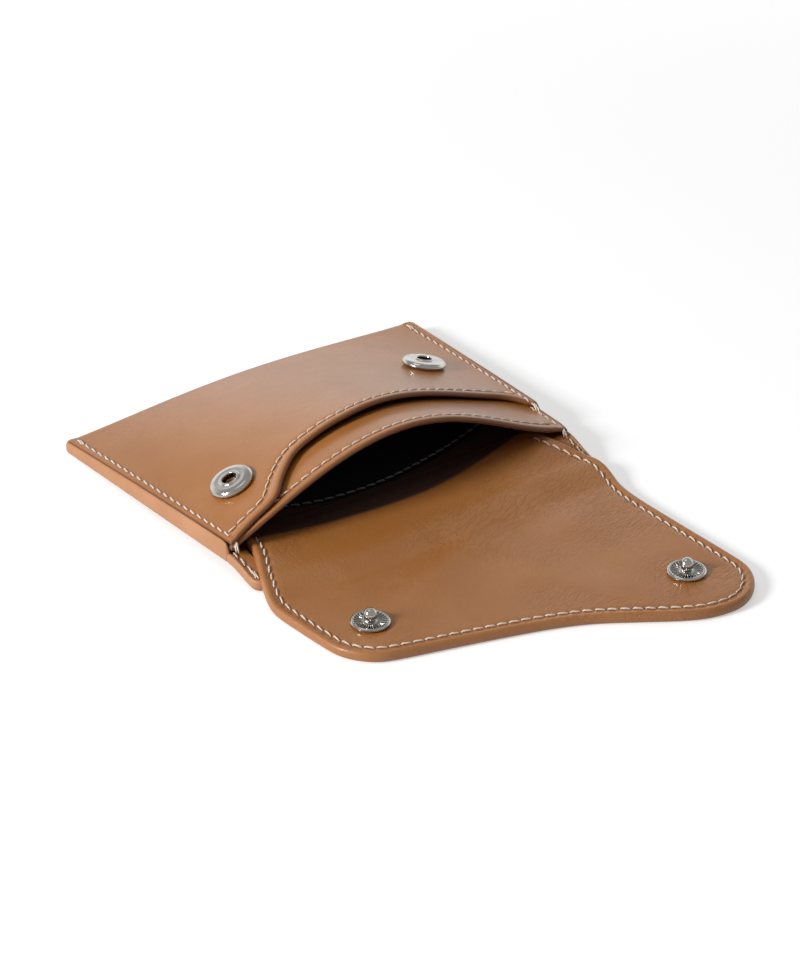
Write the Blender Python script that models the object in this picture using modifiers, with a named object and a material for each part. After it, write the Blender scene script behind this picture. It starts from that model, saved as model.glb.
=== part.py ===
"""Leather card wallet with a long flap, lying open on its back.

The body is a flat pouch. Its outer leather folds up from the bottom, so the back panel and the
front pocket share that fold. A second pocket panel stands between them, and both fronts arch up
like a mouth that is pressed open. The flap is a doubled panel, sewn into the mouth. Its front edge
runs from a short left side to a long right side, and it carries two studs that press into two
spring sockets on the front pocket. The stud line and the socket line mirror each other about the
line where the flap turns over.

Metres, +Z up. X runs across the wallet, -Y towards the flap. Depths are measured from the bottom
fold towards the flap, and heights from the table.
"""

import bmesh
import bpy
from math import acos, atan2, cos, pi, radians, sin, sqrt
from mathutils import Matrix, Vector

# Body
FOLD_WIDTH = 0.112
MOUTH_WIDTH = 0.1072
POCKET_DEPTH = 0.076
BACK_MARGIN = 0.0117
BACK_CORNER = 0.003
LEATHER = 0.0013
INNER_LEATHER = 0.0012
LINING = 0.0002
CLEARANCE = 0.0003
FOLD_CLEARANCE = 0.0004
SEAM_CLEARANCE = 0.0004
MOUTH_ARCH = 0.0184
FOLD_ARCH = 0.0028
FOLD_ARCH_LENGTH = 0.025
POCKET_SLACK = 0.0018
SIDE_RISE = 0.0027
RIGHT_CORNER_LIFT = 0.001
BACK_END_RISE = 0.0003
INNER_START = 0.025
LINING_START = 0.03
LINING_INSET = 0.009
LINING_PAST_LIP = 0.003
FACING_INSET = 0.004
LIP_FACING_DEPTH = 0.009
LIP_FACING_SETBACK = 0.001
FLAT_SHARE = 0.35
CROWN_SHARES = (1.7, 0.7)
LEFT_FULLNESS_SHARE = 0.35
LEFT_FULLNESS_POWER = 6
SEAM_TAPER_POWER = 1.4

# Front pocket lip, from its left end to its right: place across, and depth as a share of the pocket
LIP_SHARES = (
    (-1.00, 1.000),
    (-0.85, 0.982),
    (-0.71, 0.968),
    (-0.59, 0.892),
    (-0.46, 0.828),
    (-0.30, 0.806),
    (-0.10, 0.790),
    (0.12, 0.760),
    (0.40, 0.733),
    (0.72, 0.714),
    (0.89, 0.738),
    (1.00, 0.830),
)

# Flap. Its hinge is the line where the back ends, and the depths below are taken from that line or
# from the pocket's lip.
SKIN = 0.001
BOARD = 0.0006
BOARD_INSET = 0.006
BOARD_START = 0.008
PADDING_RUN = 0.0035
ROOT_OUTER_TUCK = 0.005
ROOT_INNER_TUCK = 0.01
ROOT_STEP = 0.005
SKINS_PART_BEFORE = 0.0047
SKINS_PART_AFTER = 0.0063
LANDING_AFTER = 0.0123
FLAP_HALF_WIDTH = 0.0545
FLAP_REACH = 0.0753
LEFT_CORNER = 0.009
RIGHT_CORNER = 0.0145

# Flap sides from inside the mouth outwards: depth from the hinge as a share of the flap's reach, and
# place across as a share of its half width
FLAP_LEFT_SHARES = (
    (-0.30, -0.850),
    (-0.16, -0.860),
    (-0.04, -0.926),
    (0.12, -1.007),
    (0.30, -0.998),
    (0.56, -0.960),
    (1.00, -0.940),
)
FLAP_RIGHT_SHARES = (
    (-0.30, 0.850),
    (-0.16, 0.865),
    (-0.04, 0.936),
    (0.05, 0.972),
    (0.23, 0.938),
    (0.50, 0.956),
    (0.80, 0.985),
    (1.00, 0.985),
)

# Flap front edge: place across, and depth from the hinge as a share of the flap's reach
FLAP_EDGE_SHARES = (
    (-1.00, 0.548),
    (-0.76, 0.602),
    (-0.52, 0.647),
    (-0.28, 0.692),
    (-0.07, 0.737),
    (0.11, 0.788),
    (0.29, 0.860),
    (0.48, 0.942),
    (0.60, 0.983),
    (0.74, 1.002),
    (1.00, 0.994),
)

# Snaps: the studs' places on the flap, measured in from its half width and out from the hinge. The
# sockets mirror them about the hinge.
LEFT_SNAP_INSET = 0.0149
LEFT_SNAP_REACH = 0.0308
RIGHT_SNAP_INSET = 0.0159
RIGHT_SNAP_REACH = 0.0571
PRESSED_HEIGHT = 0.0074

SOCKET_RADIUS = 0.00575
SOCKET_TOP = 0.0021
SOCKET_PLATE = 0.0004
SOCKET_WALL = 0.0013
SOCKET_BORE = 0.002
COLLAR_WIDTH = 0.0005
COLLAR_RISE = 0.0002
RIM_ROUND = 0.0006
SPRING_WIRE = 0.0002
SPRING_SPREAD = 0.00195
SPRING_ARC = 0.0039
SPRING_LIMB = 0.0026
RIVET_BORE = 0.00195
RIVET_WALL = 0.0004
RIVET_FLANGE = 0.0046
RIVET_CURL = 0.0038
RIVET_PLATE = 0.0004
RECESS_DEPTH = 0.0007

STUD_RADIUS = 0.0052
STUD_RIM = 0.0006
STUD_RIM_WIDTH = 0.0009
STUD_DISH = 0.0003
STUD_FLUTES = 32
STUD_FLUTE_DEPTH = 0.00012
POST_RADIUS = 0.0012
POST_HEIGHT = 0.0039
BALL_RADIUS = 0.00165
PEG_RADIUS = 0.0015
PEG_FLANGE = 0.0042
PEG_PLATE = 0.0005

# Fineness of the sheets and of the turned metal
SHEET_COLUMNS = 24
FRONT_ROWS = 18
ROLL_ROWS = 4
TURNED_STEPS = 32
RIVET_STEPS = 24

BACK_END = POCKET_DEPTH + BACK_MARGIN
HINGE_DEPTH = BACK_END
LINING_END = POCKET_DEPTH + LINING_PAST_LIP
ROOT_OUTER_START = POCKET_DEPTH - ROOT_OUTER_TUCK
ROOT_INNER_START = POCKET_DEPTH - ROOT_INNER_TUCK
FOLD_STACK = 2 * LEATHER + FOLD_CLEARANCE
MOUTH_STACK = 2 * LEATHER + INNER_LEATHER + 2 * LINING + 3 * CLEARANCE + SEAM_CLEARANCE
FLAP_THICKNESS = 2 * SKIN + BOARD + 2 * CLEARANCE
STUD_TOP = CLEARANCE + STUD_RIM
SNAP_STANDOFF = SOCKET_TOP + STUD_TOP + CLEARANCE
HINGE_HEIGHT = (PRESSED_HEIGHT + SNAP_STANDOFF + FLAP_THICKNESS) / 2
FLAP_TIP = HINGE_DEPTH + FLAP_REACH
FOLD_Y = FLAP_TIP / 2


def mix(a, b, share):
    """The value a share of the way from a to b."""
    return a + (b - a) * share


def ease(share):
    """A share that starts and ends level."""
    share = min(max(share, 0), 1)
    return share * share * (3 - 2 * share)


def through(stations, at):
    """A smooth curve's height at a place: it passes through every station."""
    last = len(stations) - 2
    index = max(i for i in range(last + 1) if i == 0 or stations[i][0] <= at)
    before, after = stations[max(index - 1, 0)], stations[min(index + 2, last + 1)]
    start, end = stations[index], stations[index + 1]
    run = end[0] - start[0]
    share = min(max((at - start[0]) / run, 0), 1)
    slope_in = run * (end[1] - before[1]) / (end[0] - before[0])
    slope_out = run * (after[1] - start[1]) / (after[0] - start[0])
    rise = end[1] - start[1]
    bend = (slope_in + slope_out - 2 * rise) * share + 3 * rise - 2 * slope_in - slope_out
    return start[1] + share * (slope_in + share * bend)


def half_width(depth):
    """Half the body's width: the seams draw together as the fronts arch up."""
    return mix(FOLD_WIDTH, MOUTH_WIDTH, depth / POCKET_DEPTH) / 2


def crown(u, depth):
    """Height of the arch across the wallet, 1 in the middle and 0 at the side seams. The left
    side grows fuller towards the lip."""
    full = LEFT_FULLNESS_SHARE * (depth / POCKET_DEPTH) ** LEFT_FULLNESS_POWER if u < 0 else 0
    return 1 - CROWN_SHARES[0] * u**2 + CROWN_SHARES[1] * u**4 + full * u**2 * (1 - u**2)


def seam_stack(depth):
    """Thickness of the sewn edge, which takes up the inner layers on its way to the mouth."""
    left = 1 - min(depth / POCKET_DEPTH, 1)
    return mix(MOUTH_STACK, FOLD_STACK, left**SEAM_TAPER_POWER)


def seam_rise(u, depth):
    """How far the sewn edges stand off the table, with the lift of the bottom right corner."""
    share = min(depth / POCKET_DEPTH, 1)
    rise = SIDE_RISE * share + RIGHT_CORNER_LIFT * (1 + u) / 2 * (1 - share)
    return mix(rise, BACK_END_RISE, ease((depth - POCKET_DEPTH) / BACK_MARGIN))


def back_under(u, depth):
    """Under side of the back panel: flat in the middle, lifted at the seams and at the fold."""
    cup = max(abs(u) - FLAT_SHARE, 0) / (1 - FLAT_SHARE)
    near_fold = max(1 - depth / FOLD_ARCH_LENGTH, 0) ** 2
    return seam_rise(u, depth) * mix(cup**2, 1, near_fold) + FOLD_ARCH * near_fold * crown(u, 0)


def arch(depth):
    """Height of the fronts' arch over the sewn edges, with the slot between the two pockets."""
    return mix(FOLD_ARCH, MOUTH_ARCH + POCKET_SLACK, depth / POCKET_DEPTH)


def front_top(u, depth):
    """Outer face of the front pocket."""
    return seam_rise(u, depth) + seam_stack(depth) + arch(depth) * crown(u, depth)


def inner_top(u, depth):
    """Outer face of the inner pocket, which the front pocket's slack leaves a slot over."""
    slack = POCKET_SLACK * depth / POCKET_DEPTH * crown(u, depth)
    return front_top(u, depth) - LEATHER - CLEARANCE - slack


def flap_under(x, depth):
    """Under side of the flap: on the back panel inside the mouth, on the table beyond it."""
    on_back = min(depth, BACK_END)
    u = min(max(x / half_width(on_back), -1), 1)
    lining = (LINING + CLEARANCE) * ease((BACK_END - on_back) / (BACK_END - LINING_END))
    level = back_under(u, on_back) + LEATHER + CLEARANCE + lining
    return mix(level, 0, ease((depth - HINGE_DEPTH) / LANDING_AFTER))


def skin_lift(depth, edge):
    """Height of the flap's inner skin over its outer skin's under side: the skins meet at the
    sewn edge and part over the board between them."""
    start = HINGE_DEPTH - SKINS_PART_BEFORE
    part = ease((depth - start) / (SKINS_PART_BEFORE + SKINS_PART_AFTER))
    return SKIN + CLEARANCE + (CLEARANCE + BOARD) * part * ease(edge / PADDING_RUN)


def flap_side(shares, depth):
    """Place across of one side of the flap."""
    return FLAP_HALF_WIDTH * through(shares, (depth - HINGE_DEPTH) / FLAP_REACH)


def flap_x(u, depth, inset=0.0):
    """Place across of a point of the flap, with u running from -1 at its left side to 1."""
    left = flap_side(FLAP_LEFT_SHARES, depth) + inset
    right = flap_side(FLAP_RIGHT_SHARES, depth) - inset
    return mix(left, right, (u + 1) / 2)


def corner_cut(distance, radius):
    """How far a round corner of this radius pulls the edge back at a distance from the side."""
    short = max(radius - distance, 0)
    return radius - sqrt(radius**2 - short**2)


def flap_tip(u, inset=0.0):
    """Depth of the flap's front edge at a place across."""
    edge = HINGE_DEPTH + FLAP_REACH * through(FLAP_EDGE_SHARES, u)
    width = FLAP_HALF_WIDTH * (FLAP_RIGHT_SHARES[-1][1] - FLAP_LEFT_SHARES[-1][1])
    left = corner_cut((1 + u) / 2 * width, LEFT_CORNER)
    right = corner_cut((1 - u) / 2 * width, RIGHT_CORNER)
    return edge - inset - left - right


def at(x, depth, height):
    """A point by its place across, its depth from the fold and its height."""
    return Vector((x, FOLD_Y - depth, height))


def material(name, colour, roughness, metallic=0.0):
    made = bpy.data.materials.new(name)
    made.use_nodes = True
    shader = made.node_tree.nodes["Principled BSDF"]
    shader.inputs["Base Color"].default_value = (*colour, 1)
    shader.inputs["Roughness"].default_value = roughness
    shader.inputs["Metallic"].default_value = metallic
    return made


def collection(name):
    made = bpy.data.collections.new(name)
    bpy.context.scene.collection.children.link(made)
    return made


def add(name, data, paint, holder=None, frame=None):
    """A named piece with its material, placed by a frame and carried by a holder."""
    made = bpy.data.objects.new(name, data)
    wallet.objects.link(made)
    if paint:
        data.materials.append(paint)
    made.matrix_world = frame or Matrix()
    if holder:
        made.parent = holder
        made.matrix_parent_inverse = holder.matrix_world.inverted()
    return made


def pivot(name, place, axis):
    """An empty on a joint, with its X axis along the joint's axis."""
    made = bpy.data.objects.new(name, None)
    wallet.objects.link(made)
    turn = axis.to_track_quat("X", "Z").to_matrix().to_4x4()
    made.matrix_world = Matrix.Translation(place) @ turn
    bpy.context.view_layer.update()
    return made


def sheet(name, columns, rows, bend, paint, holder=None):
    """A sheet of leather or cloth: a flat slab, bent by a rule that takes u across from -1 to 1,
    v along from 0 to 1 and w from 0 on the under side to 1 on the top."""
    slab = bmesh.new()
    bmesh.ops.create_grid(slab, x_segments=columns, y_segments=rows, size=1)
    grown = bmesh.ops.extrude_face_region(slab, geom=slab.faces[:], use_keep_orig=True)
    raised = {piece for piece in grown["geom"] if isinstance(piece, bmesh.types.BMVert)}
    for vert in slab.verts:
        u = sin(vert.co.x * pi / 2)
        v = (vert.co.y + 1) / 2
        vert.co = bend(u, v, 1 if vert in raised else 0)
    bmesh.ops.recalc_face_normals(slab, faces=slab.faces[:])
    data = bpy.data.meshes.new(name)
    slab.to_mesh(data)
    slab.free()
    made = add(name, data, paint, holder)
    data.shade_smooth()
    data.set_sharp_from_angle(angle=radians(40))
    return made


def turned(name, profile, steps, paint, holder, frame, closed=True):
    """A turned piece: its profile, given from the top down its outer side, swept round Z."""
    data = bpy.data.meshes.new(name)
    edges = [(i, i + 1) for i in range(len(profile) - 1)]
    if closed:
        edges.append((len(profile) - 1, 0))
    data.from_pydata([(radius, 0, height) for radius, height in profile], edges, [])
    made = add(name, data, paint, holder, frame)
    screw = made.modifiers.new("Turn", "SCREW")
    screw.axis = "Z"
    screw.angle = 2 * pi
    screw.steps = steps
    screw.render_steps = steps
    screw.use_merge_vertices = True
    screw.merge_threshold = CLEARANCE / 30
    return made


def meshed(piece):
    """The piece with its modifiers made into its mesh."""
    bpy.context.view_layer.update()
    seen = piece.evaluated_get(bpy.context.evaluated_depsgraph_get())
    data = bpy.data.meshes.new_from_object(seen)
    piece.modifiers.clear()
    piece.data = data
    return piece


def hole(piece, profile, frame):
    """Cuts a turned hole through a piece."""
    cutter = turned(piece.name + "_hole", profile, RIVET_STEPS, None, None, frame, closed=False)
    wallet.objects.unlink(cutter)
    cutters.objects.link(cutter)
    cutter.hide_render = True
    cutter.display_type = "WIRE"
    cut = piece.modifiers.new("Hole", "BOOLEAN")
    cut.operation = "DIFFERENCE"
    cut.solver = "EXACT"
    cut.object = cutter


def front_normal(x, depth):
    """The way the front pocket faces at a place."""
    step = CLEARANCE
    here = at(x, depth, front_top(x / half_width(depth), depth))
    across = at(x + step, depth, front_top((x + step) / half_width(depth), depth)) - here
    along = here - at(x, depth + step, front_top(x / half_width(depth + step), depth + step))
    return across.cross(along).normalized()


def back_panel():
    """The back: it runs past the pockets' lips and ends in two small round corners."""
    start = FOLD_STACK / 2 + CLEARANCE

    def bend(u, v, w):
        depth = mix(start, BACK_END, sin(v * pi / 2))
        width = half_width(depth) - corner_cut(BACK_END - depth, BACK_CORNER)
        return at(u * width, depth, back_under(u, depth) + LEATHER * w)

    return sheet("back_panel", SHEET_COLUMNS - 2, 16, bend, tan_leather)


def back_lining():
    """The dark lining on the back panel's inner face."""

    def bend(u, v, w):
        depth = mix(LINING_START, LINING_END, v)
        x = u * (half_width(depth) - LINING_INSET)
        level = back_under(x / half_width(depth), depth) + LEATHER + CLEARANCE
        return at(x, depth, level + LINING * w)

    return sheet("back_lining", 14, 5, bend, dark_lining)


def front_pocket():
    """The front: it rolls up round the bottom fold and ends in a lip that sweeps from high on
    the left to low in the middle and back up to the right seam."""
    roll_radius = FOLD_STACK / 2
    roll_share = ROLL_ROWS / FRONT_ROWS

    def bend(u, v, w):
        if v < roll_share:
            turn = pi * v / roll_share - pi / 2
            radius = roll_radius - LEATHER * (1 - w)
            centre = front_top(u, 0) - roll_radius
            return at(
                u * half_width(0),
                roll_radius - radius * cos(turn),
                centre + radius * sin(turn),
            )
        lip = POCKET_DEPTH * through(LIP_SHARES, u)
        run = (v - roll_share) / (1 - roll_share)
        depth = mix(roll_radius, lip, run)
        past_roll = lip * run
        height = front_top(u, mix(past_roll, depth, run)) - LEATHER * (1 - w)
        return at(u * half_width(past_roll), depth, height)

    return sheet("front_pocket", SHEET_COLUMNS, FRONT_ROWS, bend, tan_leather)


def inner_pocket():
    """The second pocket panel, sewn into the side seams behind the front pocket."""

    def bend(u, v, w):
        depth = mix(INNER_START, POCKET_DEPTH, v)
        height = inner_top(u, depth) - INNER_LEATHER * (1 - w)
        return at(u * half_width(depth), depth, height)

    return sheet("inner_pocket", SHEET_COLUMNS, 7, bend, tan_leather)


def lining_layer(name, start, end, rows, inset, paint, holder=None):
    """A thin layer against the inner pocket's back."""

    def bend(u, v, w):
        depth = mix(start, end, v)
        x = u * (half_width(depth) - inset)
        level = inner_top(x / half_width(depth), depth) - INNER_LEATHER - CLEARANCE
        return at(x, depth, level - LINING * (1 - w))

    return sheet(name, SHEET_COLUMNS - 4, rows, bend, paint, holder)


def flap_sheet(name, start, end, rows, level, thickness, paint, holder=None, inset=0.0):
    """A layer of the flap. It runs to the front edge where no end is given."""

    def bend(u, v, w):
        tip = flap_tip(u, inset) if end is None else end
        depth = mix(start, tip, sin(v * pi / 2))
        x = flap_x(u, depth, inset)
        edge = min(x - flap_x(-1, depth), flap_x(1, depth) - x)
        if end is None:
            edge = min(edge, tip - depth)
        return at(x, depth, flap_under(x, depth) + level(depth, edge) + thickness * w)

    return sheet(name, SHEET_COLUMNS, rows, bend, paint, holder)


def facing_level(depth, edge):
    """The inner skin steps down to the lining where the outer skin ends inside the mouth."""
    return skin_lift(depth, edge) * ease((depth - ROOT_INNER_START) / ROOT_STEP)


def on_back(depth, edge):
    """The outer skin lies straight on what is under the flap."""
    return 0


def on_outer_skin(depth, edge):
    """The board lies on the outer skin."""
    return SKIN + CLEARANCE


def ball(count):
    """The ball's profile from its tip down to the post."""
    centre = POST_HEIGHT - BALL_RADIUS
    last = pi - atan2(POST_RADIUS, sqrt(BALL_RADIUS**2 - POST_RADIUS**2))
    turns = [last * i / count for i in range(count + 1)]
    return [(BALL_RADIUS * sin(turn), centre + BALL_RADIUS * cos(turn)) for turn in turns]


def stud(side, frame):
    """A stud: a fluted dish with a round rim, and a post with a ball head."""
    dish_edge = STUD_RADIUS - STUD_RIM_WIDTH
    dish_floor = STUD_TOP - STUD_DISH
    profile = ball(5) + [
        (POST_RADIUS, dish_floor),
        (mix(POST_RADIUS, dish_edge, 0.5), mix(dish_floor, STUD_TOP, 0.4)),
        (mix(POST_RADIUS, dish_edge, 0.85), mix(dish_floor, STUD_TOP, 0.8)),
        (dish_edge, STUD_TOP),
        (STUD_RADIUS - STUD_RIM_WIDTH / 3, STUD_TOP),
        (STUD_RADIUS, mix(CLEARANCE, STUD_TOP, 0.5)),
        (STUD_RADIUS - STUD_RIM_WIDTH / 3, CLEARANCE),
        (0, CLEARANCE),
    ]
    steps = 2 * STUD_FLUTES
    made = meshed(turned("stud_" + side, profile, steps, nickel, flap_hinge, frame, closed=False))
    inner = mix(POST_RADIUS, dish_edge, 0.3)
    outer = mix(POST_RADIUS, dish_edge, 0.95)
    for vert in made.data.vertices:
        radius = sqrt(vert.co.x**2 + vert.co.y**2)
        if inner < radius < outer and vert.co.z > mix(CLEARANCE, dish_floor, 0.5):
            vert.co.z += STUD_FLUTE_DEPTH * cos(STUD_FLUTES * atan2(vert.co.y, vert.co.x))
    made.data.shade_smooth()
    made.data.set_sharp_from_angle(angle=radians(35))
    return made


def stud_peg(side, frame):
    """The stud's peg: its flange lies between the flap's skins and its shank fills the hole."""
    flange = -SKIN - CLEARANCE
    profile = [
        (0, 0),
        (PEG_RADIUS, 0),
        (PEG_RADIUS, flange),
        (PEG_FLANGE, flange),
        (PEG_FLANGE, flange - PEG_PLATE),
        (0, flange - PEG_PLATE),
    ]
    return turned("stud_peg_" + side, profile, RIVET_STEPS, nickel, flap_hinge, frame, closed=False)


def socket(side, frame, holder):
    """A spring socket: a flat ring with a raised collar round its hole, open below."""
    floor = SOCKET_TOP - SOCKET_PLATE
    cavity = SOCKET_RADIUS - SOCKET_WALL
    profile = [
        (SOCKET_BORE, SOCKET_TOP + COLLAR_RISE),
        (SOCKET_BORE + COLLAR_WIDTH, SOCKET_TOP + COLLAR_RISE),
        (SOCKET_BORE + COLLAR_WIDTH + COLLAR_RISE, SOCKET_TOP),
        (SOCKET_RADIUS - RIM_ROUND, SOCKET_TOP),
        (SOCKET_RADIUS - RIM_ROUND / 4, SOCKET_TOP - RIM_ROUND / 4),
        (SOCKET_RADIUS, SOCKET_TOP - RIM_ROUND),
        (SOCKET_RADIUS, CLEARANCE + RIM_ROUND),
        (SOCKET_RADIUS - RIM_ROUND / 2, CLEARANCE),
        (cavity, CLEARANCE),
        (cavity, floor),
        (SOCKET_BORE, floor),
    ]
    return turned("socket_" + side, profile, TURNED_STEPS, nickel, holder, frame)


def socket_spring(side, frame, holder):
    """The wire spring in a socket: two limbs beside the hole, joined round the cavity's wall."""
    height = (CLEARANCE + RIVET_PLATE + SOCKET_TOP - SOCKET_PLATE) / 2
    first = acos(SPRING_SPREAD / SPRING_ARC)
    turns = [mix(first, pi - first, i / 8) for i in range(9)]
    path = [(SPRING_SPREAD, -SPRING_LIMB), (SPRING_SPREAD, 0)]
    path += [(SPRING_ARC * cos(turn), SPRING_ARC * sin(turn)) for turn in turns]
    path += [(-SPRING_SPREAD, 0), (-SPRING_SPREAD, -SPRING_LIMB)]
    data = bpy.data.curves.new("socket_spring_" + side, "CURVE")
    data.dimensions = "3D"
    data.bevel_depth = SPRING_WIRE
    data.bevel_resolution = 2
    data.use_fill_caps = True
    wire = data.splines.new("POLY")
    wire.points.add(len(path) - 1)
    for point, (x, y) in zip(wire.points, path):
        point.co = (x, y, height, 1)
    return add("socket_spring_" + side, data, spring_steel, holder, frame)


def socket_rivet(side, frame, holder):
    """The tube rivet that holds a socket: a flange sunk in the leather's back, a tube through
    it, and a curled end inside the socket."""
    top = CLEARANCE + RIVET_PLATE
    flange = -RECESS_DEPTH - RIVET_PLATE
    profile = [
        (RIVET_BORE, top),
        (RIVET_CURL, top),
        (RIVET_CURL, CLEARANCE),
        (RIVET_BORE + RIVET_WALL, CLEARANCE),
        (RIVET_BORE + RIVET_WALL, flange + RIVET_PLATE),
        (RIVET_FLANGE, flange + RIVET_PLATE),
        (RIVET_FLANGE, flange),
        (RIVET_BORE, flange),
    ]
    return turned("socket_rivet_" + side, profile, RIVET_STEPS, nickel, holder, frame)


for leftover in list(bpy.data.objects):
    bpy.data.objects.remove(leftover)

wallet = collection("card_wallet")
cutters = collection("cutters")

tan_leather = material("tan_leather", (0.42, 0.20, 0.09), 0.38)
dark_lining = material("dark_lining", (0.012, 0.010, 0.010), 0.85)
stiff_board = material("stiff_board", (0.30, 0.24, 0.18), 0.90)
nickel = material("nickel", (0.72, 0.70, 0.67), 0.22, 1.0)
spring_steel = material("spring_steel", (0.50, 0.49, 0.48), 0.30, 1.0)

# The joints' pivots: the flap's hinge over the back panel's end, and the bottom fold about which
# the pocket's lip swings when the wallet is pressed flat
flap_hinge = pivot("flap_hinge", at(0, HINGE_DEPTH, HINGE_HEIGHT), Vector((1, 0, 0)))
lip_hinge = pivot("lip_hinge", at(0, FOLD_STACK / 2, FOLD_STACK / 2), Vector((1, 0, 0)))

# The pouch
back_panel()
back_lining()
front = front_pocket()
inner_pocket()
facing_start = POCKET_DEPTH - LIP_FACING_SETBACK - LIP_FACING_DEPTH
lining_end = facing_start - CLEARANCE
lining_layer("pocket_lining", LINING_START, lining_end, 5, LINING_INSET, dark_lining)
lip_end = POCKET_DEPTH - LIP_FACING_SETBACK
lining_layer("lip_facing", facing_start, lip_end, 2, FACING_INSET, tan_leather, lip_hinge)

# The flap's root inside the mouth, and the flap beyond its hinge
root_end = HINGE_DEPTH - CLEARANCE
flap_start = HINGE_DEPTH + CLEARANCE
flap_sheet("flap_root_outer", ROOT_OUTER_START, root_end, 5, on_back, SKIN, tan_leather)
flap_sheet("flap_root_inner", ROOT_INNER_START, root_end, 7, facing_level, SKIN, tan_leather)
flap_sheet("flap_outer", flap_start, None, 9, on_back, SKIN, tan_leather, flap_hinge)
inner_skin = flap_sheet(
    "flap_inner", flap_start, None, 9, skin_lift, SKIN, tan_leather, flap_hinge
)
board = flap_sheet(
    "flap_board",
    HINGE_DEPTH + BOARD_START,
    None,
    7,
    on_outer_skin,
    BOARD,
    stiff_board,
    flap_hinge,
    BOARD_INSET,
)

# The snaps. A socket swings about a line beside its seam, down to the height at which it meets its
# stud, and it comes level there.
for side, x, reach in (
    ("left", LEFT_SNAP_INSET - FLAP_HALF_WIDTH, LEFT_SNAP_REACH),
    ("right", FLAP_HALF_WIDTH - RIGHT_SNAP_INSET, RIGHT_SNAP_REACH),
):
    stud_frame = Matrix.Translation(at(x, HINGE_DEPTH + reach, FLAP_THICKNESS))
    stud(side, stud_frame)
    stud_peg(side, stud_frame)
    skin_hole = PEG_RADIUS + CLEARANCE
    board_hole = PEG_FLANGE + CLEARANCE
    above, below = CLEARANCE, -SKIN - CLEARANCE
    hole(inner_skin, [(0, above), (skin_hole, above), (skin_hole, below), (0, below)], stud_frame)
    below = -SKIN - CLEARANCE - BOARD - CLEARANCE
    above = -SKIN
    hole(board, [(0, above), (board_hole, above), (board_hole, below), (0, below)], stud_frame)

    depth = HINGE_DEPTH - reach
    normal = front_normal(x, depth)
    place = at(x, depth, front_top(x / half_width(depth), depth))
    lean = acos(normal.z)
    drop = place.z - PRESSED_HEIGHT
    swing = drop / (2 * sin(lean / 2))
    downhill = Vector((normal.x, normal.y, 0)).normalized()
    beside = place + downhill * swing * cos(lean / 2) - Vector((0, 0, drop / 2))
    holder = pivot("socket_pivot_" + side, beside, normal.cross(Vector((0, 0, 1))).normalized())
    turn = Vector((0, 0, 1)).rotation_difference(normal).to_matrix().to_4x4()
    socket_frame = Matrix.Translation(place) @ turn
    socket(side, socket_frame, holder)
    socket_spring(side, socket_frame, holder)
    socket_rivet(side, socket_frame, holder)
    tube_hole = RIVET_BORE + RIVET_WALL + CLEARANCE
    flange_hole = RIVET_FLANGE + CLEARANCE
    recess = CLEARANCE - RECESS_DEPTH
    profile = [
        (0, CLEARANCE),
        (tube_hole, CLEARANCE),
        (tube_hole, recess),
        (flange_hole, recess),
        (flange_hole, -2 * LEATHER),
        (0, -2 * LEATHER),
    ]
    hole(front, profile, socket_frame)
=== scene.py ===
from math import acos, pi, radians, sqrt

import bpy
import numpy as np
from mathutils import Matrix, Vector


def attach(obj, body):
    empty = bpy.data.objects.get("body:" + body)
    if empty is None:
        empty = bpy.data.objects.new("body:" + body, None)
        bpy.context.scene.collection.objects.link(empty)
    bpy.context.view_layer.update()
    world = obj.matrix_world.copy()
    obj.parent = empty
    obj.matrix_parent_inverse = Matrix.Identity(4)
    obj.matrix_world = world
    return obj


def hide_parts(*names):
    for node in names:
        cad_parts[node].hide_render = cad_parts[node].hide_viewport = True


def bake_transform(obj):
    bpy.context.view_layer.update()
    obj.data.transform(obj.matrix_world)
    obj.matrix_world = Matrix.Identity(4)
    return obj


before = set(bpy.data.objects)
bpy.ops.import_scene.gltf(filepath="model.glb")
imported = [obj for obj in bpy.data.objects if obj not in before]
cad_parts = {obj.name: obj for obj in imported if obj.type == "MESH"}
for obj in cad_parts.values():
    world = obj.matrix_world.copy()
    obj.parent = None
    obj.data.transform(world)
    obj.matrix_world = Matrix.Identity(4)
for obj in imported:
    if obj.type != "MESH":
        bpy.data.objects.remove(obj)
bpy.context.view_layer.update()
bpy.ops.object.select_all(action="DESELECT")

# The table and the light. A white table top, a soft lamp low on the left that throws the studs'
# shadows, and white walls that the leather and the metal reflect. The camera looks over the
# flap's short corner.


class Signal:
    """One value that runs through the nodes. Sums written on it become Math nodes."""

    def __init__(self, wiring, socket):
        self.wiring = wiring
        self.socket = socket

    def maths(self, operation, other=0.0, turned=False):
        first, second = (other, self) if turned else (self, other)
        return self.wiring.node("Math", {"operation": operation}, {0: first, 1: second})

    def __add__(self, other):
        return self.maths("ADD", other)

    __radd__ = __add__

    def __sub__(self, other):
        return self.maths("SUBTRACT", other)

    def __rsub__(self, other):
        return self.maths("SUBTRACT", other, turned=True)

    def __mul__(self, other):
        return self.maths("MULTIPLY", other)

    __rmul__ = __mul__

    def __truediv__(self, other):
        return self.maths("DIVIDE", other)

    def __pow__(self, other):
        return self.maths("POWER", other)

    def __mod__(self, other):
        return self.maths("FLOORED_MODULO", other)

    def __abs__(self):
        return self.maths("ABSOLUTE")

    def above(self, start, end):
        """0 below the start, 1 above the end, and smooth between them."""
        return self.wiring.node(
            "MapRange",
            {"interpolation_type": "SMOOTHSTEP"},
            {"Value": self, "From Min": start, "From Max": end},
        )


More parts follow.
